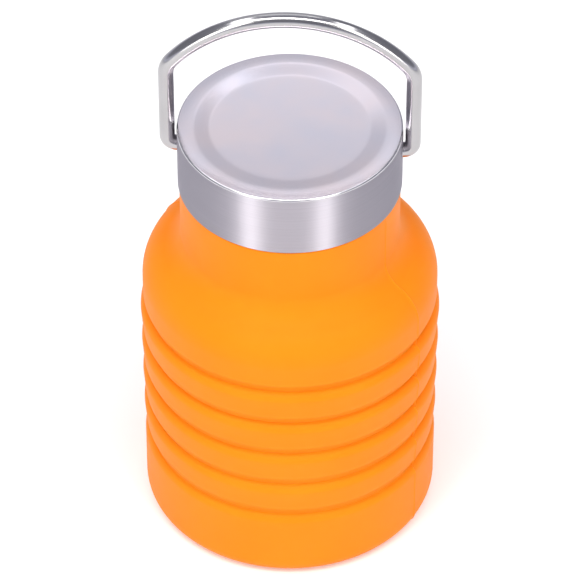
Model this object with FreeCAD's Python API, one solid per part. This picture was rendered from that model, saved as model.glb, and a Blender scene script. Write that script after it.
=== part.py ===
import FreeCAD, Part
import os
from math import asin, cos, degrees, radians, sin, sqrt

# Folding silicone drinking bottle with a steel screw cap and a wire bail handle.
# Millimetres, +Z up. The origin is the centre of the underside, on the ground plane,
# and the bail swings about an axis along X. The bottle is modelled folded: its five
# folds are closed and the ridge bands sit close on one another.

# ---- silicone body -----------------------------------------------------------------
BODY_INNER_R = 35.3        # inside of the base, the ridge bands and the shoulder wall
FIRST_LIP_Z = 24.7         # lower lip of the lowest ridge band, just above the base
FOLD_PITCH = 11.2          # height of one ridge band with its closed fold
FOLD_COUNT = 5
RIDGE_COUNT = FOLD_COUNT - 1
BAND_GAP = 0.5             # slit between two neighbouring bands when folded
BASE_R = 39.1              # largest radius of the base
RIDGE_R_STEP = 0.1         # each ridge band upwards is this much larger
LIP_INSET = 0.45           # a band's lower lip stands in from its bulge
LIP_TAPER_HEIGHT = 2.5     # below its lip a band tapers inwards
LIP_TAPER_INSET = 1.2
BAND_TOP_FILLET = 2.4      # rounded upper edge of a band

# ---- base --------------------------------------------------------------------------
BASE_EDGE_FILLET = 4.3     # rounded outer edge of the underside
BASE_FLOOR_Z = 4.2         # inner floor
BASE_INNER_FILLET = 3.0    # between inner floor and wall
RECESS_DEPTH = 1.2         # shallow dish in the underside
RECESS_R = 30.5            # outer edge of the dish, inner edge of the foot ring
RECESS_SLOPE = 1.0

# ---- folds: closed V, point inwards, one leaf on each band --------------------------
FOLD_POINT_R = 28.0        # innermost radius of the closed fold
FOLD_WALL = 1.2
FOLD_SLIT_ROOT = 0.55      # half the slit between the two leaves, at the bands
FOLD_SLIT_POINT = 0.1      # and near the fold's point
FOLD_POINT_CHAMFER = 0.6
FOLD_CLEARANCE = 0.3       # between the upper leaf and the band above

# ---- shoulder and neck -------------------------------------------------------------
SHOULDER_R = 38.8
DOME_START_Z = 75.0        # end of the upright wall, start of the dome
DOME_R = 10.2              # convex radius of the dome
FILLET_R = 8.0             # concave radius between dome and neck
NECK_R = 28.6
NECK_TOP_Z = 106.8
SHOULDER_WALL = SHOULDER_R - BODY_INNER_R
NECK_INNER_R = NECK_R - SHOULDER_WALL

# ---- rigid neck collar with the outer screw thread -----------------------------------
COLLAR_BORE_R = 21.4
COLLAR_BOTTOM_Z = 92.0
COLLAR_TOP_Z = 119.9
COLLAR_SPIGOT_R = 23.6     # thread root on the part that stands up into the cap
COLLAR_TOP_CHAMFER = 0.5
BEAD_HEIGHT = 1.0          # retaining bead, radially
BEAD_Z = 98.0
BEAD_WIDTH = 2.0
SEAT_CLEARANCE = 0.05      # between pieces pressed or seated together

# ---- screw thread ------------------------------------------------------------------
THREAD_LEAD = 4.0
THREAD_DEPTH = 1.2
THREAD_ROOT_HALF = 1.1     # half width of the thread ridge at its root
THREAD_CREST_HALF = 0.55   # and at its crest
THREAD_EMBED = 0.3         # the ridge is rooted this far inside its wall
JOIN_TOLERANCE = 1e-4      # lets the ridge merge cleanly with its wall
COLLAR_THREAD_Z = 108.7    # centre of the collar's thread ridge at angle 0
COLLAR_THREAD_SPAN = (0.0, 495.0)
LINER_THREAD_SPAN = (198.0, 702.0)

# ---- cap ---------------------------------------------------------------------------
CAP_R = 29.0
CAP_BOTTOM_Z = 107.1
CAP_TOP_Z = 125.2
SHEET = 0.6                # steel sheet thickness
RIM_FILLET = 0.6
HEM_INNER_R = 27.9         # turned-in lower edge that holds the liner
HEM_FILLET = 0.3
STEP_OUTER_R = 24.7        # start of the shallow slope in the top
STEP_INNER_R = 20.7        # edge of the sunken disc
STEP_DEPTH = 0.8
DISC_DISH = 0.3            # the disc is this much lower in its middle
LINER_BORE_R = 25.2        # thread root inside the liner
LINER_UPPER_R = 24.0       # thicker wall above the thread, around the bail's pins
LINER_STEP_Z = 115.8
LINER_CEILING_Z = 121.7
LINER_UNDER_SHELL = 0.1
LINER_SLOPE_START_R = 20.3
LINER_SLOPE_END_R = 25.3
GASKET_INNER_R = 21.6
GASKET_OUTER_R = 23.8

# ---- wire bail ---------------------------------------------------------------------
WIRE_R = 2.0
PIVOT_Z = 118.1
LEG_X = 31.5               # centre of each leg
CROWN_RISE = 41.5          # centre of the wire at the top, above the pivots
CROWN_R = 39.0             # shallow arc of the crown
CORNER_R = 6.9             # between crown and legs
FOOT_BEND_R = 2.6          # bend from leg to pin
PIN_END_X = 25.3
PIN_HOLE_CLEARANCE = 0.05
PIN_HOLE_END_GAP = 0.1
SHELL_HOLE_R = 2.1

FULL_TURN = 360.0
ORIGIN = FreeCAD.Vector(0, 0, 0)
Z_AXIS = FreeCAD.Vector(0, 0, 1)
X_AXIS = FreeCAD.Vector(1, 0, 0)


def at(point):
    """Place a (radius or x, height) pair in the XZ plane."""
    return FreeCAD.Vector(point[0], 0, point[1])


def arc(centre, radius, start, end):
    """Three points of an arc; angles in degrees from +X towards +Z."""
    turns = [radians(a) for a in (start, (start + end) / 2, end)]
    return [(centre[0] + radius * cos(a), centre[1] + radius * sin(a)) for a in turns]


def edges_of(items):
    """Edges through a chain of points and three-point arcs, joined by straight lines."""
    edges = []
    last = None
    for item in items:
        is_arc = isinstance(item, list)
        start = item[0] if is_arc else item
        if last is not None and (at(start) - at(last)).Length > 1e-6:
            edges.append(Part.LineSegment(at(last), at(start)).toShape())
        if is_arc:
            edges.append(Part.Arc(*[at(p) for p in item]).toShape())
        last = item[-1] if is_arc else item
    return edges


def turned(items):
    """Solid of revolution about Z with the closed outline through the items."""
    first = items[0][0] if isinstance(items[0], list) else items[0]
    face = Part.Face(Part.Wire(edges_of([*items, first])))
    return face.revolve(ORIGIN, Z_AXIS, FULL_TURN)


def lip_z(index):
    """Height of the lip above fold number index, counted from 1 at the bottom."""
    return FIRST_LIP_Z + (index - 1) * FOLD_PITCH


def upper_end(index):
    """Top of the piece below fold number index."""
    return lip_z(index) - LIP_TAPER_HEIGHT - BAND_GAP


def lower_end(index, lip_r):
    """Underside and taper of the piece above fold number index, up to its lip."""
    bottom = lip_z(index) - LIP_TAPER_HEIGHT
    return [
        (BODY_INNER_R, bottom),
        (lip_r - LIP_TAPER_INSET, bottom),
        (lip_r, lip_z(index)),
    ]


def base_cup():
    top = upper_end(1)
    foot = BASE_R - BASE_EDGE_FILLET
    inner = BODY_INNER_R - BASE_INNER_FILLET
    return turned([
        (0, RECESS_DEPTH),
        (RECESS_R - RECESS_SLOPE, RECESS_DEPTH),
        (RECESS_R, 0),
        arc((foot, BASE_EDGE_FILLET), BASE_EDGE_FILLET, -90, 0),
        arc((BASE_R - BAND_TOP_FILLET, top - BAND_TOP_FILLET), BAND_TOP_FILLET, 0, 90),
        (BODY_INNER_R, top),
        arc((inner, BASE_FLOOR_Z + BASE_INNER_FILLET), BASE_INNER_FILLET, 0, -90),
        (0, BASE_FLOOR_Z),
    ])


def ridge_band(index):
    """Stiff ring between fold index below and fold index + 1 above."""
    top = upper_end(index + 1)
    bulge = BASE_R + index * RIDGE_R_STEP
    return turned([
        *lower_end(index, bulge - LIP_INSET),
        arc((bulge - BAND_TOP_FILLET, top - BAND_TOP_FILLET), BAND_TOP_FILLET, 0, 90),
        (BODY_INNER_R, top),
    ])


def fold(index):
    """Thin ring folded into a closed V between two bands; its lower leaf is rooted."""
    mid = upper_end(index) + BAND_GAP / 2
    root = FOLD_SLIT_ROOT
    slit = FOLD_SLIT_POINT
    blunt = FOLD_POINT_R + FOLD_POINT_CHAMFER
    inside = FOLD_POINT_R + FOLD_WALL
    upper_r = BODY_INNER_R - FOLD_CLEARANCE
    return turned([
        (FOLD_POINT_R, mid - FOLD_WALL + FOLD_POINT_CHAMFER),
        (blunt, mid - FOLD_WALL),
        (BODY_INNER_R, mid - root - FOLD_WALL),
        (BODY_INNER_R, mid - root),
        (inside, mid - slit),
        (inside, mid + slit),
        (upper_r, mid + root),
        (upper_r, mid + root + FOLD_WALL),
        (blunt, mid + FOLD_WALL),
        (FOLD_POINT_R, mid + FOLD_WALL - FOLD_POINT_CHAMFER),
    ])


def shoulder():
    """Upright wall, dome, concave fillet and neck, with a groove for the collar's bead."""
    centre_step = FILLET_R + NECK_R - (SHOULDER_R - DOME_R)
    meet = degrees(asin(sqrt(1 - (centre_step / (DOME_R + FILLET_R)) ** 2)))
    rise = (DOME_R + FILLET_R) * sin(radians(meet))
    dome = (SHOULDER_R - DOME_R, DOME_START_Z)
    fillet = (NECK_R + FILLET_R, DOME_START_Z + rise)
    groove_r = NECK_INNER_R + BEAD_HEIGHT
    groove_low = BEAD_Z - SEAT_CLEARANCE
    groove_high = BEAD_Z + BEAD_WIDTH + SEAT_CLEARANCE
    return turned([
        *lower_end(FOLD_COUNT, SHOULDER_R),
        arc(dome, DOME_R, 0, meet),
        arc(fillet, FILLET_R, 180 + meet, 180),
        (NECK_R, NECK_TOP_Z),
        (NECK_INNER_R, NECK_TOP_Z),
        (NECK_INNER_R, groove_high),
        (groove_r, groove_high),
        (groove_r, groove_low),
        (NECK_INNER_R, groove_low),
        arc(fillet, FILLET_R + SHOULDER_WALL, 180, 180 + meet),
        arc(dome, DOME_R - SHOULDER_WALL, meet, 0),
    ])


def thread_ridge(wall_r, outward, base_z, span):
    """Helical ridge on a wall of radius wall_r, between two angles in degrees."""
    sign = 1 if outward else -1
    turns = (span[1] - span[0]) / FULL_TURN
    helix = Part.makeHelix(THREAD_LEAD, THREAD_LEAD * turns, wall_r)
    corners = [
        (wall_r - sign * THREAD_EMBED, -THREAD_ROOT_HALF),
        (wall_r, -THREAD_ROOT_HALF),
        (wall_r + sign * THREAD_DEPTH, -THREAD_CREST_HALF),
        (wall_r + sign * THREAD_DEPTH, THREAD_CREST_HALF),
        (wall_r, THREAD_ROOT_HALF),
        (wall_r - sign * THREAD_EMBED, THREAD_ROOT_HALF),
    ]
    section = Part.Wire(edges_of([*corners, corners[0]]))
    ridge = Part.Wire(helix.Edges).makePipeShell([section], True, True)
    ridge.rotate(ORIGIN, Z_AXIS, span[0])
    ridge.translate(Z_AXIS * (base_z + THREAD_LEAD * span[0] / FULL_TURN))
    return ridge


def neck_collar():
    sleeve = NECK_INNER_R - SEAT_CLEARANCE
    body = turned([
        (COLLAR_BORE_R, COLLAR_BOTTOM_Z),
        (sleeve, COLLAR_BOTTOM_Z),
        (sleeve, BEAD_Z),
        (sleeve + BEAD_HEIGHT, BEAD_Z),
        (sleeve + BEAD_HEIGHT, BEAD_Z + BEAD_WIDTH),
        (sleeve, BEAD_Z + BEAD_WIDTH),
        (sleeve, NECK_TOP_Z),
        (COLLAR_SPIGOT_R, NECK_TOP_Z),
        (COLLAR_SPIGOT_R, COLLAR_TOP_Z - COLLAR_TOP_CHAMFER),
        (COLLAR_SPIGOT_R - COLLAR_TOP_CHAMFER, COLLAR_TOP_Z),
        (COLLAR_BORE_R, COLLAR_TOP_Z),
    ])
    ridge = thread_ridge(COLLAR_SPIGOT_R, True, COLLAR_THREAD_Z, COLLAR_THREAD_SPAN)
    return body.fuse([ridge], JOIN_TOLERANCE)


def gasket():
    """Flat sealing ring between the collar's top and the liner's ceiling."""
    return turned([
        (GASKET_INNER_R, COLLAR_TOP_Z),
        (GASKET_OUTER_R, COLLAR_TOP_Z),
        (GASKET_OUTER_R, LINER_CEILING_Z - SEAT_CLEARANCE),
        (GASKET_INNER_R, LINER_CEILING_Z - SEAT_CLEARANCE),
    ])


def dished(height):
    """Arc from the edge of the cap's sunken disc, at that height, to its middle."""
    radius = (STEP_INNER_R ** 2 + DISC_DISH ** 2) / (2 * DISC_DISH)
    sweep = degrees(asin(STEP_INNER_R / radius))
    return arc((0, height - DISC_DISH + radius), radius, 270 + sweep, 270)


def pivot_holes(radius, inner_x):
    """Round cutters along X at both pivots, from inner_x out past the cap."""
    cutters = []
    length = CAP_R + WIRE_R - inner_x
    for side in (-1, 1):
        start = FreeCAD.Vector(side * inner_x, 0, PIVOT_Z)
        cutters.append(Part.makeCylinder(radius, length, start, X_AXIS * side))
    return cutters[0].fuse(cutters[1])


def cap_shell():
    """Steel cup with a sunken disc in its top and a turned-in lower edge."""
    inner_r = CAP_R - SHEET
    ledge = CAP_TOP_Z - STEP_DEPTH
    hem_top = CAP_BOTTOM_Z + SHEET - SEAT_CLEARANCE
    shell = turned([
        (HEM_INNER_R, CAP_BOTTOM_Z),
        arc((CAP_R - HEM_FILLET, CAP_BOTTOM_Z + HEM_FILLET), HEM_FILLET, -90, 0),
        arc((CAP_R - RIM_FILLET, CAP_TOP_Z - RIM_FILLET), RIM_FILLET, 0, 90),
        (STEP_OUTER_R, CAP_TOP_Z),
        dished(ledge),
        dished(ledge - SHEET)[::-1],
        (STEP_OUTER_R, CAP_TOP_Z - SHEET),
        (inner_r, CAP_TOP_Z - SHEET),
        (inner_r, hem_top),
        (HEM_INNER_R, hem_top),
    ])
    return shell.cut(pivot_holes(SHELL_HOLE_R, LINER_UPPER_R))


def cap_liner():
    """Moulded insert that fills the shell and carries the inner screw thread."""
    outer_r = CAP_R - SHEET - SEAT_CLEARANCE
    top = CAP_TOP_Z - SHEET - LINER_UNDER_SHELL
    bottom = CAP_BOTTOM_Z + SHEET
    body = turned([
        (LINER_BORE_R, bottom),
        (outer_r, bottom),
        (outer_r, top),
        (LINER_SLOPE_END_R, top),
        (LINER_SLOPE_START_R, top - STEP_DEPTH - DISC_DISH),
        (0, top - STEP_DEPTH - DISC_DISH),
        (0, LINER_CEILING_Z),
        (LINER_UPPER_R, LINER_CEILING_Z),
        (LINER_UPPER_R, LINER_STEP_Z),
        (LINER_BORE_R, LINER_STEP_Z),
    ])
    ridge_z = COLLAR_THREAD_Z - THREAD_LEAD / 2
    ridge = thread_ridge(LINER_BORE_R, False, ridge_z, LINER_THREAD_SPAN)
    holes = pivot_holes(WIRE_R + PIN_HOLE_CLEARANCE, PIN_END_X - PIN_HOLE_END_GAP)
    return body.fuse([ridge], JOIN_TOLERANCE).cut(holes)


def bail_path():
    """Centre line of the wire, from the left pin over the crown to the right pin."""
    crown = (0, PIVOT_Z + CROWN_RISE - CROWN_R)
    corner_x = LEG_X - CORNER_R
    corner_rise = sqrt((CROWN_R - CORNER_R) ** 2 - corner_x ** 2)
    turn = degrees(asin(corner_rise / (CROWN_R - CORNER_R)))
    corner_z = crown[1] + corner_rise
    foot_x = LEG_X - FOOT_BEND_R
    foot_z = PIVOT_Z + FOOT_BEND_R
    return Part.Wire(edges_of([
        (-PIN_END_X, PIVOT_Z),
        arc((-foot_x, foot_z), FOOT_BEND_R, 270, 180),
        arc((-corner_x, corner_z), CORNER_R, 180, 180 - turn),
        arc(crown, CROWN_R, 180 - turn, turn),
        arc((corner_x, corner_z), CORNER_R, turn, 0),
        arc((foot_x, foot_z), FOOT_BEND_R, 0, -90),
        (PIN_END_X, PIVOT_Z),
    ]))


def handle():
    section = Part.Circle(FreeCAD.Vector(-PIN_END_X, 0, PIVOT_Z), X_AXIS, WIRE_R)
    return bail_path().makePipeShell([Part.Wire(section.toShape())], True, True)


def all_parts():
    parts = {"base_cup": base_cup()}
    for index in range(1, FOLD_COUNT + 1):
        parts[f"fold_{index}"] = fold(index)
    for index in range(1, RIDGE_COUNT + 1):
        parts[f"ridge_band_{index}"] = ridge_band(index)
    parts["shoulder"] = shoulder()
    parts["neck_collar"] = neck_collar()
    parts["gasket"] = gasket()
    parts["cap_liner"] = cap_liner()
    parts["cap_shell"] = cap_shell()
    parts["handle"] = handle()
    return parts


def main():
    os.makedirs("parts", exist_ok=True)
    for name, shape in all_parts().items():
        shape.exportStep(f"parts/{name}.step")
        solids = len(shape.Solids)
        print(f"{name}: solids {solids}, valid {shape.isValid()}, {shape.Volume:.0f} mm3")


main()
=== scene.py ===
from math import acos, asin, atan2, ceil, cos, degrees, hypot, pi, radians, sin, sqrt, tan

import bmesh
import bpy
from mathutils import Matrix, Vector


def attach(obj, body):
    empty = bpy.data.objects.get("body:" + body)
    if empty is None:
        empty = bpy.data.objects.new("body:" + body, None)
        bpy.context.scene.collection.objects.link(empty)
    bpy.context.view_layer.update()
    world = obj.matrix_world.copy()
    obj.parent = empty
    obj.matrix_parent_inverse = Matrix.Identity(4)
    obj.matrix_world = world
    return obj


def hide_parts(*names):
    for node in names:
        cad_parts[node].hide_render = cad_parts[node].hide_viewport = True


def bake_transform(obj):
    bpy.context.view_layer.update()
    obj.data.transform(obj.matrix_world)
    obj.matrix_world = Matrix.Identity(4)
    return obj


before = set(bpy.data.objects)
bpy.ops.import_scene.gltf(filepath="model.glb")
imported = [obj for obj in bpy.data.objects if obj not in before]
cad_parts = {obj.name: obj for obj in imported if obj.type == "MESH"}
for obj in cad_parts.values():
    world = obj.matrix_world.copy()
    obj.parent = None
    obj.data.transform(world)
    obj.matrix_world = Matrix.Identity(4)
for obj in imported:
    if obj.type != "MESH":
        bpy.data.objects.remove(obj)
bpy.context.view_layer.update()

MM = 0.001

# ---- sizes, in millimetres, as in the CAD model --------------------------------------
FOLDS = 5
PITCH = 11.2               # from one lip to the next, folded
FIRST_LIP = 24.7
INNER_R = 35.3
BASE_R = 39.1
FOOT_ROUND = 4.3
INSIDE_FLOOR = 4.2
INSIDE_ROUND = 3.0
RECESS_H = 1.2             # the recess under the base
RECESS_R = 29.5
RIDGE_STEP = 0.1           # how much further out each band bulges than the piece below it
LIP_INSET = 0.45
TAPER_H = 2.5
TAPER_IN = 1.2
SLIT = 0.5
TOP_ROUND = 2.4
SHOULDER_R = 38.8
DOME_Z = 75.0
DOME_R = 10.2
NECK_FILLET = 8.0
NECK_R = 28.6
NECK_TOP = 106.8
CAP_R = 29.0
CAP_BOTTOM = 107.1
CAP_TOP = 125.2
SHELL_T = 0.6
RIM_ROUND = 0.6
HEM_R = 27.9
HEM_ROUND = 0.3
STEP_OUT_R = 24.7
STEP_IN_R = 20.7
STEP_DROP = 0.8
DISH = 0.3                 # how far the cap's disc sinks from its edge to its middle
PIVOT_Z = 118.1
WIRE_R = 2.0
LEG_X = 31.5
CROWN_RISE = 41.5
CROWN_R = 39.0
CORNER_R = 6.9
FOOT_R = 2.6
PIN_END = 25.3

# ---- details that the visual model shapes for itself, in millimetres and degrees -------
FOOT_RING_R = 30.6         # inner radius of the flat ring that it stands on
HEM_H = 0.55
ROOT_R = 37.3              # where a fold's web leaves its bands
ROOT_HOLD = 0.35           # how much further out the web runs, inside the bands
CHANNEL_R = 36.7           # a band's ends are cut back inside this radius, clear of the web
CHANNEL_DEPTH = 0.85
WEB_R = 29.0               # innermost radius of a closed web
WEB_T = 0.7
WEB_HALF = 0.37            # half height of a closed web at its roots
WEB_BLUNT = 0.08           # how blunt its innermost edge is, as a share of its half height
WEB_STEPS = 26             # from its innermost edge to a root
LIP_STEP = 0.35            # small step behind each lip
LIP_RISE = 0.05            # how far the lip's outer edge stands above its inner one
LIP_ROUND = 0.1
TOP_TURN = 82              # how far a band's rounded top turns before it runs flat
SEAM_DEG = (-28.0, 152.0)  # the two parting lines of the mould
# Degrees from a parting line, and its share of the line's full height there.
SEAM_SHARES = {-0.55: 0.0, -0.3: 0.22, -0.13: 0.78, 0.0: 1.0, 0.13: 0.78, 0.3: 0.22, 0.55: 0.0}
SEAM_CLEAR = 0.9           # no even column stands this close to a parting line
SEAM_H = 0.2
SEAM_EXTRA = 0.6           # how much more it stands up in the middle of a groove
SEAM_REACH = 1.6           # how far from there the extra height reaches
GROOVE_DROP = 2.2          # how far the middle of a groove is below its lip
SEAM_END = 1.0             # how far it stops from the floor and from the neck's top
BAND_WOBBLE = 0.05         # how uneven the bands lie
WAVE_SHARE = 0.6           # height of the second wave in that, beside the first
WAVE_SHIFT = 2.1           # and its phase, beside the first's
WAVE_TURN = 1.3            # how far the waves' phase moves on from band to band
RIM_SINK = 0.2             # how far the flat ring round the step falls to the rim
RIM_FLAT = 1.8             # width of that ring before it falls
RIM_SOFT = 16.0            # how softly it starts to fall
STEP_ROUND = 5.0
TOP_ZONE = 1.9             # faces further than this below the cap's top stay brushed
DISH_STEPS = 12

# ---- how fine the meshes are ------------------------------------------------------------
COLUMNS = 192
FILLET_STEP = 10.0         # degrees
FILLET_SHARE = 0.49        # a fillet takes no more than this share of each side
LEAST_STEPS = 3            # in an arc
SAME_POINT = 1e-4          # mm
BODY_RUN = 2.5             # longest straight run, in mm, on the base cup and the shoulder
BAND_RUN = 2.0             # on the bands
STEEL_RUN = 1.5            # on the cap and the wire
WIRE_SIDES = 40

# ---- faces of the cap, by how far they look up (the normal's z) --------------------------
SATIN_FROM = 0.97
POLISH_FROM = 0.06

# ---- in metres --------------------------------------------------------------------------
WELD = 2e-7
SLIVER = 1e-7
STAGE_HALF = 3.0           # half the floor's width
STAGE_Z = -2e-4            # just under the bottle, so that the two never share a plane
LIGHT_AIM = (0, 0, 0.08)


# ================================ small helpers ========================================
def lip(i):
    """Height of the lip above fold i."""
    return FIRST_LIP + (i - 1) * PITCH


def corner_arc(a, p, b, radius):
    """Points of the fillet of that radius at corner p between a and b."""
    ua = (a[0] - p[0], a[1] - p[1])
    ub = (b[0] - p[0], b[1] - p[1])
    la = hypot(*ua)
    lb = hypot(*ub)
    ua = (ua[0] / la, ua[1] / la)
    ub = (ub[0] / lb, ub[1] / lb)
    inside = acos(max(-1.0, min(1.0, ua[0] * ub[0] + ua[1] * ub[1])))
    cut = min(radius / tan(inside / 2), FILLET_SHARE * la, FILLET_SHARE * lb)
    radius = cut * tan(inside / 2)
    mid = (ua[0] + ub[0], ua[1] + ub[1])
    lm = hypot(*mid)
    reach = radius / sin(inside / 2)
    centre = (p[0] + mid[0] / lm * reach, p[1] + mid[1] / lm * reach)
    start = (p[0] + ua[0] * cut, p[1] + ua[1] * cut)
    end = (p[0] + ub[0] * cut, p[1] + ub[1] * cut)
    a0 = atan2(start[1] - centre[1], start[0] - centre[0])
    a1 = atan2(end[1] - centre[1], end[0] - centre[0])
    turn = (a1 - a0 + pi) % (2 * pi) - pi
    n = max(LEAST_STEPS, ceil(abs(degrees(turn)) / FILLET_STEP))
    return [(centre[0] + radius * cos(a0 + turn * k / n),
             centre[1] + radius * sin(a0 + turn * k / n)) for k in range(n + 1)]


def arc(centre, radius, a0, a1, step=4.0):
    """Points of an arc from angle a0 to a1, in degrees."""
    n = max(LEAST_STEPS, ceil(abs(a1 - a0) / step))
    return [(centre[0] + radius * cos(radians(a0 + (a1 - a0) * k / n)),
             centre[1] + radius * sin(radians(a0 + (a1 - a0) * k / n))) for k in range(n + 1)]


def rounded(items):
    """Closed outline through the items: (r, z) is a sharp corner, (r, z, fillet) a rounded one."""
    pts = []
    n = len(items)
    for k, item in enumerate(items):
        if len(item) == 2:
            pts.append((item[0], item[1]))
            continue
        pts += corner_arc(items[k - 1][:2], item[:2], items[(k + 1) % n][:2], item[2])
    out = []
    for p in pts:
        if not out or hypot(p[0] - out[-1][0], p[1] - out[-1][1]) > SAME_POINT:
            out.append(p)
    return out


def divided(pts, longest, closed=True):
    """The outline with its long straight runs divided."""
    out = []
    n = len(pts)
    for k in range(n if closed else n - 1):
        a = pts[k]
        b = pts[(k + 1) % n]
        m = max(1, ceil(hypot(b[0] - a[0], b[1] - a[1]) / longest))
        out += [(a[0] + (b[0] - a[0]) * j / m, a[1] + (b[1] - a[1]) * j / m) for j in range(m)]
    return out if closed else out + [pts[-1]]


def columns(seams):
    """Angles of a turned mesh's columns, each with the parting line's share of height there."""
    out = []
    for k in range(COLUMNS):
        a = 360.0 * k / COLUMNS
        if all(abs((a - s + 180) % 360 - 180) > SEAM_CLEAR for s in seams):
            out.append((a, 0.0))
    for s in seams:
        out += [((s + d) % 360, share) for d, share in SEAM_SHARES.items()]
    return sorted(out)


def outline_normals(pts, closed):
    """Normals at the points of an outline, outward where it runs anticlockwise."""
    out = []
    n = len(pts)
    for k in range(n):
        a = pts[k - 1] if closed or k else pts[k]
        b = pts[(k + 1) % n] if closed or k < n - 1 else pts[k]
        t = (b[0] - a[0], b[1] - a[1])
        length = hypot(*t) or 1.0
        out.append((t[1] / length, -t[0] / length))
    return out


def added(name, data):
    """A new object with that data, in the scene."""
    obj = bpy.data.objects.new(name, data)
    bpy.context.scene.collection.objects.link(obj)
    return obj


def mesh_object(name, verts, faces):
    mesh = bpy.data.meshes.new(name)
    mesh.from_pydata(verts, [], faces)
    return added(name, mesh)


def cleaned(obj):
    """Merges points that meet, makes the faces agree and smooths the shading."""
    bm = bmesh.new()
    bm.from_mesh(obj.data)
    bmesh.ops.remove_doubles(bm, verts=bm.verts, dist=WELD)
    bmesh.ops.dissolve_degenerate(bm, edges=bm.edges, dist=SLIVER)
    bmesh.ops.recalc_face_normals(bm, faces=bm.faces)
    for face in bm.faces:
        face.smooth = True
    bm.to_mesh(obj.data)
    bm.free()
    return obj


def turned(name, pts, closed=True, seams=(), seam_height=None, wobble=0.0, phase=0.0):
    """A mesh turned about Z from an outline in mm. A closed outline runs anticlockwise."""
    cols = columns(seams)
    normals = outline_normals(pts, closed)
    verts = []
    for a, share in cols:
        t = radians(a)
        lift = wobble * (sin(2 * t + phase) + WAVE_SHARE * sin(3 * t + WAVE_SHIFT * phase))
        for (r, z), (nr, nz) in zip(pts, normals):
            h = share * seam_height(r, z) if share and seam_height else 0.0
            rr = r + nr * h
            zz = z + nz * h + lift
            verts.append((rr * cos(t) * MM, rr * sin(t) * MM, zz * MM))
    n = len(pts)
    m = len(cols)
    faces = []
    for i in range(m):
        j = (i + 1) % m
        for k in range(n if closed else n - 1):
            q = (k + 1) % n
            faces.append((i * n + k, j * n + k, j * n + q, i * n + q))
    obj = mesh_object(name, verts, faces)
    obj.data.validate()
    return cleaned(obj)


# ================================ materials ============================================
def set_stops(color_ramp, stops):
    """Gives a colour ramp its stops, each a place and a colour."""
    elements = color_ramp.elements
    while len(elements) < len(stops):
        elements.new(0.5)
    for element, (place, colour) in zip(elements, stops):
        element.position = place
        element.color = (*colour, 1.0)


class Nodes:
    """Short names for building one material's nodes."""

    def __init__(self, name):
        self.material = bpy.data.materials.new(name)
        self.material.use_nodes = True
        self.tree = self.material.node_tree
        self.shader = self.tree.nodes["Principled BSDF"]

    def add(self, kind, **settings):
        node = self.tree.nodes.new(kind)
        for key, value in settings.items():
            setattr(node, key, value)
        return node

    def link(self, a, b):
        self.tree.links.new(a, b)

    def position(self, scale=(1, 1, 1)):
        coords = self.add("ShaderNodeTexCoord")
        mapping = self.add("ShaderNodeMapping")
        mapping.inputs["Scale"].default_value = scale
        self.link(coords.outputs["Object"], mapping.inputs["Vector"])
        return mapping.outputs["Vector"]

    def noise(self, vector, scale, detail=3.0, roughness=0.5):
        node = self.add("ShaderNodeTexNoise")
        node.inputs["Scale"].default_value = scale
        node.inputs["Detail"].default_value = detail
        node.inputs["Roughness"].default_value = roughness
        self.link(vector, node.inputs["Vector"])
        return node.outputs["Fac"]

    def ramp(self, value, stops):
        node = self.add("ShaderNodeValToRGB")
        set_stops(node.color_ramp, stops)
        self.link(value, node.inputs["Fac"])
        return node.outputs["Color"]

    def spread(self, value, low, high):
        """Maps a 0 to 1 value to low to high."""
        node = self.add("ShaderNodeMapRange")
        node.inputs["To Min"].default_value = low
        node.inputs["To Max"].default_value = high
        self.link(value, node.inputs["Value"])
        return node.outputs["Result"]

    def bump(self, height, distance, strength):
        node = self.add("ShaderNodeBump")
        node.inputs["Strength"].default_value = strength
        node.inputs["Distance"].default_value = distance
        self.link(height, node.inputs["Height"])
        return node.outputs["Normal"]

    def put(self, **inputs):
        """Sets or links the shader's inputs, named with _ for each space."""
        for key, value in inputs.items():
            socket = self.shader.inputs[key.replace("_", " ")]
            if isinstance(value, bpy.types.NodeSocket):
                self.link(value, socket)
            else:
                socket.default_value = value


def silicone():
    m = Nodes("silicone_orange")
    place = m.position()
    cloud = m.noise(place, 45.0, 3.0)
    grain = m.noise(place, 2600.0, 2.0, 0.6)
    m.put(
        Base_Color=m.ramp(cloud, [(0.25, (0.86, 0.213, 0.005)), (0.75, (0.90, 0.230, 0.008))]),
        Roughness=m.spread(m.noise(place, 260.0, 4.0), 0.50, 0.60),
        Normal=m.bump(grain, 0.00002, 0.5),
        Subsurface_Weight=0.12,
        Subsurface_Scale=0.002,
        Subsurface_Radius=(1.0, 0.35, 0.06),
        Specular_IOR_Level=0.27,
        Specular_Tint=(1.0, 0.78, 0.24, 1.0),
    )
    return m.material


def brushed_side():
    """Steel brushed round the cap: fine rings of scratches."""
    m = Nodes("steel_brushed_side")
    rings = m.noise(m.position((8.0, 8.0, 5200.0)), 1.0, 4.0, 0.65)
    wide = m.noise(m.position((3.0, 3.0, 700.0)), 1.0, 2.0)
    tangent = m.add("ShaderNodeTangent", direction_type="RADIAL", axis="Z")
    m.put(
        Base_Color=m.ramp(rings, [(0.2, (0.474, 0.450, 0.500)), (0.8, (0.578, 0.549, 0.606))]),
        Metallic=1.0,
        Roughness=m.spread(wide, 0.50, 0.55),
        Normal=m.bump(rings, 0.00001, 0.1),
        Anisotropic=1.0,
        Anisotropic_Rotation=0.25,
        Tangent=tangent.outputs["Tangent"],
    )
    return m.material


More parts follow.
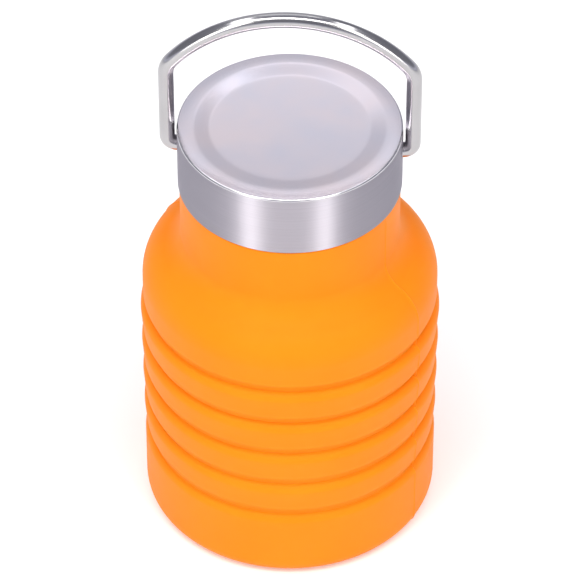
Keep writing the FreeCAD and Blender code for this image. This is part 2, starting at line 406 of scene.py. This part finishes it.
def satin_top():
    """The cap's top: satin, with no brushing direction."""
    m = Nodes("steel_satin_top")
    place = m.position()
    fine = m.noise(place, 3800.0, 2.0, 0.6)
    cloud = m.noise(place, 60.0, 3.0)
    m.put(
        Base_Color=m.ramp(cloud, [(0.32, (0.692, 0.662, 0.735)), (0.68, (0.768, 0.684, 0.718))]),
        Metallic=1.0,
        Roughness=m.spread(cloud, 0.21, 0.262),
        Normal=m.bump(fine, 0.00001, 0.3),
    )
    return m.material


def rim_polish():
    """The cap's rounded edge, burnished brighter than the brushed side."""
    m = Nodes("steel_rim")
    wear = m.noise(m.position(), 420.0, 3.0)
    m.put(
        Base_Color=m.ramp(wear, [(0.3, (0.56, 0.54, 0.57)), (0.7, (0.66, 0.64, 0.67))]),
        Metallic=1.0,
        Roughness=m.spread(wear, 0.16, 0.26),
    )
    return m.material


def polished_wire():
    m = Nodes("steel_polished_wire")
    smear = m.noise(m.position(), 90.0, 3.0)
    scratch = m.noise(m.position((300.0, 5000.0, 300.0)), 1.0, 3.0)
    m.put(
        Base_Color=m.ramp(smear, [(0.3, (0.43, 0.42, 0.43)), (0.7, (0.48, 0.47, 0.48))]),
        Metallic=1.0,
        Roughness=m.spread(scratch, 0.10, 0.20),
        Normal=m.bump(scratch, 0.000006, 0.2),
    )
    return m.material


def plastic(name, dark, light, roughness):
    """The collar, the liner and the gasket differ only in colour and roughness."""
    m = Nodes(name)
    place = m.position()
    cloud = m.noise(place, 120.0, 3.0)
    grain = m.noise(place, 4000.0, 2.0)
    either_way = 0.06
    m.put(
        Base_Color=m.ramp(cloud, [(0.3, dark), (0.7, light)]),
        Roughness=m.spread(grain, roughness - either_way, roughness + either_way),
        Normal=m.bump(grain, 0.00001, 0.3),
        Subsurface_Weight=0.1,
        Subsurface_Scale=0.002,
    )
    return m.material


# ================================ silicone body ========================================
def seam_height(r, z):
    """The parting line stands up only on the outside, and more at each groove."""
    if r < CHANNEL_R and z < DOME_Z:
        return 0.0
    if z > NECK_TOP - SEAM_END or z < SEAM_END:
        return 0.0
    near = min(abs(z - (lip(i) - GROOVE_DROP)) for i in range(1, FOLDS + 1))
    return SEAM_H + SEAM_EXTRA * max(0.0, 1.0 - near / SEAM_REACH)


def lower_end(i, lip_r):
    """From the inner face, under the piece above fold i, out to its lip."""
    z = lip(i)
    channel = z - TAPER_H + CHANNEL_DEPTH
    return [
        (INNER_R, channel, 0.4),
        (CHANNEL_R, channel, 0.2),
        (CHANNEL_R, z - TAPER_H, 0.15),
        (lip_r - TAPER_IN, z - TAPER_H, 0.35),
        (lip_r - LIP_STEP, z - LIP_STEP, 0.1),
        (lip_r - LIP_STEP, z, 0.08),
        (lip_r, z + LIP_RISE, LIP_ROUND),
    ]


def upper_end(i, bulge):
    """From the bulge over the rounded top of the piece below fold i to its inner face."""
    top = lip(i) - TAPER_H - SLIT
    channel = top - CHANNEL_DEPTH
    return [
        *arc((bulge - TOP_ROUND, top - TOP_ROUND), TOP_ROUND, 0, TOP_TURN, step=6.0),
        (CHANNEL_R, top, 0.15),
        (CHANNEL_R, channel, 0.2),
        (INNER_R, channel, 0.4),
    ]


def base_cup():
    foot = BASE_R - FOOT_ROUND
    items = [
        (0.0, INSIDE_FLOOR),
        (0.0, RECESS_H),
        (RECESS_R, RECESS_H, 0.5),
        (FOOT_RING_R, 0.0, 0.5),
        *arc((foot, FOOT_ROUND), FOOT_ROUND, -90, 0),
        *upper_end(1, BASE_R),
        (INNER_R, INSIDE_FLOOR, INSIDE_ROUND),
    ]
    pts = divided(rounded(items), BODY_RUN)
    return turned("base_cup_skin", pts, seams=SEAM_DEG, seam_height=seam_height)


def ridge_band(i):
    bulge = BASE_R + i * RIDGE_STEP
    items = [*lower_end(i, bulge - LIP_INSET), *upper_end(i + 1, bulge)]
    pts = divided(rounded(items), BAND_RUN)
    return turned(f"ridge_band_{i}_skin", pts, seams=SEAM_DEG, seam_height=seam_height,
                  wobble=BAND_WOBBLE, phase=WAVE_TURN * i)


def shoulder():
    """Dome and neck, with a hollow fillet between them."""
    wall = SHOULDER_R - INNER_R
    step = NECK_FILLET + NECK_R - (SHOULDER_R - DOME_R)
    meet = degrees(acos(step / (DOME_R + NECK_FILLET)))
    rise = (DOME_R + NECK_FILLET) * sin(radians(meet))
    dome = (SHOULDER_R - DOME_R, DOME_Z)
    fillet = (NECK_R + NECK_FILLET, DOME_Z + rise)
    items = [
        *lower_end(FOLDS, SHOULDER_R),
        *arc(dome, DOME_R, 0, meet),
        *arc(fillet, NECK_FILLET, 180 + meet, 180),
        (NECK_R, NECK_TOP, 0.4),
        (NECK_R - wall, NECK_TOP, 0.3),
        *arc(fillet, NECK_FILLET + wall, 180, 180 + meet),
        *arc(dome, DOME_R - wall, meet, 0),
    ]
    pts = divided(rounded(items), BODY_RUN)
    return turned("shoulder_skin", pts, seams=SEAM_DEG, seam_height=seam_height)


def web(i):
    """The thin fold between two bands, as one surface that a modifier thickens."""
    mid = lip(i) - TAPER_H - SLIT / 2
    full = sqrt(1 + WEB_BLUNT * WEB_BLUNT) - WEB_BLUNT
    pts = [(ROOT_R + ROOT_HOLD, mid + WEB_HALF)]
    for k in range(-WEB_STEPS, WEB_STEPS + 1):
        u = -k / WEB_STEPS
        share = (sqrt(u * u + WEB_BLUNT * WEB_BLUNT) - WEB_BLUNT) / full
        pts.append((WEB_R + (ROOT_R - WEB_R) * share, mid + WEB_HALF * u))
    pts.append((ROOT_R + ROOT_HOLD, mid - WEB_HALF))
    obj = turned(f"fold_{i}_web", pts, closed=False)
    thick = obj.modifiers.new("thickness", "SOLIDIFY")
    thick.thickness = WEB_T * MM
    thick.offset = 0.0
    return obj, mid


# ================================ cap and handle ========================================
def cap_shell():
    """Drawn steel cup: rounded rim, soft step, sunken disc and a turned-in hem."""
    ledge = CAP_TOP - STEP_DROP
    dish = (STEP_IN_R ** 2 + DISH ** 2) / (2 * DISH)
    sweep = degrees(asin(STEP_IN_R / dish))
    bowl = arc((0.0, ledge - DISH + dish), dish, 270 + sweep, 270, step=sweep / DISH_STEPS)
    outer = [
        (HEM_R, CAP_BOTTOM),
        (CAP_R, CAP_BOTTOM, HEM_ROUND),
        (CAP_R, CAP_TOP - RIM_SINK, RIM_ROUND),
        (STEP_OUT_R + RIM_FLAT, CAP_TOP, RIM_SOFT),
        (STEP_OUT_R, CAP_TOP, STEP_ROUND),
        (STEP_IN_R, ledge, STEP_ROUND),
        *bowl[1:],
    ]
    inner = [
        (0.0, ledge - DISH - SHELL_T),
        (STEP_IN_R, ledge - SHELL_T, 2.0),
        (STEP_OUT_R, CAP_TOP - SHELL_T, 2.0),
        (CAP_R - SHELL_T, CAP_TOP - SHELL_T, 0.2),
        (CAP_R - SHELL_T, CAP_BOTTOM + HEM_H),
        (HEM_R, CAP_BOTTOM + HEM_H),
    ]
    pts = divided(rounded([*outer, *inner]), STEEL_RUN)
    obj = turned("cap_shell_skin", pts)
    obj.data.materials.append(brushed_side())
    obj.data.materials.append(satin_top())
    obj.data.materials.append(rim_polish())
    for face in obj.data.polygons:
        if face.center.z < (CAP_TOP - TOP_ZONE) * MM or face.normal.z < POLISH_FROM:
            continue
        face.material_index = 1 if face.normal.z > SATIN_FROM else 2
    return obj


def bail_line():
    """Centre line of the wire in the XZ plane, in mm, from the left pin to the right."""
    crown = (0.0, PIVOT_Z + CROWN_RISE - CROWN_R)
    cx = LEG_X - CORNER_R
    rise = sqrt((CROWN_R - CORNER_R) ** 2 - cx ** 2)
    turn = degrees(atan2(rise, cx))
    foot = (LEG_X - FOOT_R, PIVOT_Z + FOOT_R)
    right = [
        *arc(crown, CROWN_R, 90, turn, step=2.0)[1:],
        *arc((cx, crown[1] + rise), CORNER_R, turn, 0, step=5.0)[1:],
        *arc(foot, FOOT_R, 0, -90, step=7.5),
        (PIN_END, PIVOT_Z),
    ]
    left = [(-x, z) for x, z in reversed(right)]
    return divided([*left, (0.0, PIVOT_Z + CROWN_RISE), *right], STEEL_RUN, closed=False)


def handle():
    """Round wire along the bail line, with flat ends inside the cap."""
    line = bail_line()
    n = len(line)
    side = Vector((0, 1, 0))
    verts = []
    for k, (x, z) in enumerate(line):
        a = line[max(k - 1, 0)]
        b = line[min(k + 1, n - 1)]
        up = side.cross(Vector((b[0] - a[0], 0, b[1] - a[1])).normalized())
        for j in range(WIRE_SIDES):
            w = 2 * pi * j / WIRE_SIDES
            p = Vector((x, 0, z)) + (up * cos(w) + side * sin(w)) * WIRE_R
            verts.append(tuple(p * MM))
    faces = []
    for k in range(n - 1):
        near = k * WIRE_SIDES
        far = near + WIRE_SIDES
        for j in range(WIRE_SIDES):
            q = (j + 1) % WIRE_SIDES
            faces.append((near + j, near + q, far + q, far + j))
    last = (n - 1) * WIRE_SIDES
    faces.append(tuple(range(WIRE_SIDES)))
    faces.append(tuple(last + j for j in reversed(range(WIRE_SIDES))))
    obj = cleaned(mesh_object("handle_wire", verts, faces))
    for face in obj.data.polygons:
        face.use_smooth = len(face.vertices) == 4
    return obj


# ================================ assembly =============================================
def dress(obj, material):
    obj.data.materials.append(material)


def build_body():
    orange = silicone()
    base = base_cup()
    bands = {i: ridge_band(i) for i in range(1, FOLDS)}
    top = shoulder()
    for obj in (base, *bands.values(), top):
        dress(obj, orange)
    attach(base, "base")
    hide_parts("base_cup")
    for i, band in bands.items():
        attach(band, f"ring_{i}")
        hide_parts(f"ridge_band_{i}")
    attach(top, "upper")
    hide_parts("shoulder")
    for i in range(1, FOLDS + 1):
        obj, mid = web(i)
        dress(obj, orange)
        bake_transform(obj)
        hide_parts(f"fold_{i}")


def build_cap():
    shell = cap_shell()
    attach(shell, "cap")
    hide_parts("cap_shell")
    wire = handle()
    dress(wire, polished_wire())
    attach(wire, "bail")
    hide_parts("handle")
    looks = {
        "neck_collar": plastic("collar_plastic", (0.70, 0.71, 0.69), (0.78, 0.78, 0.76), 0.38),
        "cap_liner": plastic("liner_plastic", (0.72, 0.73, 0.72), (0.80, 0.80, 0.79), 0.42),
        "gasket": plastic("gasket_silicone", (0.62, 0.63, 0.61), (0.74, 0.74, 0.72), 0.55),
    }
    for node, material in looks.items():
        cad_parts[node].material_slots[0].material = material


# ================================ stage, light, camera ==================================
def area(name, azimuth, elevation, distance, size, power, colour=(1.0, 1.0, 1.0)):
    """Rectangular soft light; azimuth 0 is in front of the bottle, positive to its right."""
    a = radians(azimuth)
    e = radians(elevation)
    data = bpy.data.lights.new(name, "AREA")
    data.shape = "RECTANGLE"
    data.size, data.size_y = size
    data.energy = power
    data.color = colour
    aim = Vector(LIGHT_AIM)
    place = Vector((sin(a) * cos(e), -cos(a) * cos(e), sin(e))) * distance + aim
    obj = added(name, data)
    obj.location = place
    obj.rotation_euler = (aim - place).to_track_quat("-Z", "Y").to_euler()


def stage():
    corners = [(-1, -1), (1, -1), (1, 1), (-1, 1)]
    verts = [(x * STAGE_HALF, y * STAGE_HALF, STAGE_Z) for x, y in corners]
    floor = mesh_object("floor", verts, [(0, 1, 2, 3)])
    m = Nodes("floor_white")
    m.put(
        Base_Color=(0.8, 0.8, 0.8, 1),
        Roughness=0.9,
        Emission_Color=(1, 1, 1, 1),
        Emission_Strength=0.2,
    )
    floor.data.materials.append(m.material)


def surroundings():
    """A studio with a bright floor, darker walls and a lighter ceiling, slightly blue."""
    world = bpy.data.worlds.new("studio")
    world.use_nodes = True
    tree = world.node_tree
    coords = tree.nodes.new("ShaderNodeTexCoord")
    split = tree.nodes.new("ShaderNodeSeparateXYZ")
    ramp = tree.nodes.new("ShaderNodeValToRGB")
    tree.links.new(coords.outputs["Generated"], split.inputs["Vector"])
    tree.links.new(split.outputs["Z"], ramp.inputs["Fac"])
    tree.links.new(ramp.outputs["Color"], tree.nodes["Background"].inputs["Color"])
    levels = [(0.09, 0.80), (0.16, 0.285), (0.62, 0.31), (0.85, 0.40)]
    set_stops(ramp.color_ramp, [(up, (level, level * 1.02, level * 1.17)) for up, level in levels])
    bpy.context.scene.world = world


def lights():
    """Each lamp: azimuth and elevation, distance, width and height, power and colour."""
    warm = (1.0, 0.985, 0.94)
    area("strip_left", -33, 20, 1.5, (0.36, 1.1), 5.8, warm)
    area("strip_right", 34.5, 20, 1.5, (0.34, 1.1), 5.2, warm)
    area("high_left", -45, 50, 1.5, (0.35, 0.6), 2.6, warm)
    area("high_right", 45, 50, 1.5, (0.35, 0.6), 2.4, warm)
    area("over_left", -90, 60, 1.4, (1.3, 0.28), 3.9)
    area("over_right", 90, 60, 1.4, (1.3, 0.28), 2.8)
    area("front", 0, 66, 1.5, (1.1, 0.4), 11.4, warm)
    area("back_wide", 190, 38, 1.6, (1.4, 1.3), 2.2)
    area("back_high", 188, 57, 1.6, (0.80, 0.78), 0.88)
    area("glint", 160, 57, 1.5, (0.14, 0.16), 0.18)
    bpy.context.scene.view_settings.view_transform = "Standard"


def camera():
    """Long lens, well above the bottle, a little to its right."""
    turn = radians(2.8)
    tilt = radians(42.66)
    distance = 1.160
    target = Vector((0, 0, 0.06786))
    data = bpy.data.cameras.new("camera")
    data.sensor_width = 36.0
    data.lens = 272.64
    data.clip_end = 20.0
    away = Vector((sin(turn) * cos(tilt), -cos(turn) * cos(tilt), sin(tilt)))
    obj = added("camera", data)
    obj.location = target + away * distance
    obj.rotation_euler = (-away).to_track_quat("-Z", "Y").to_euler()
    bpy.context.scene.camera = obj


build_body()
build_cap()
stage()
surroundings()
lights()
camera()
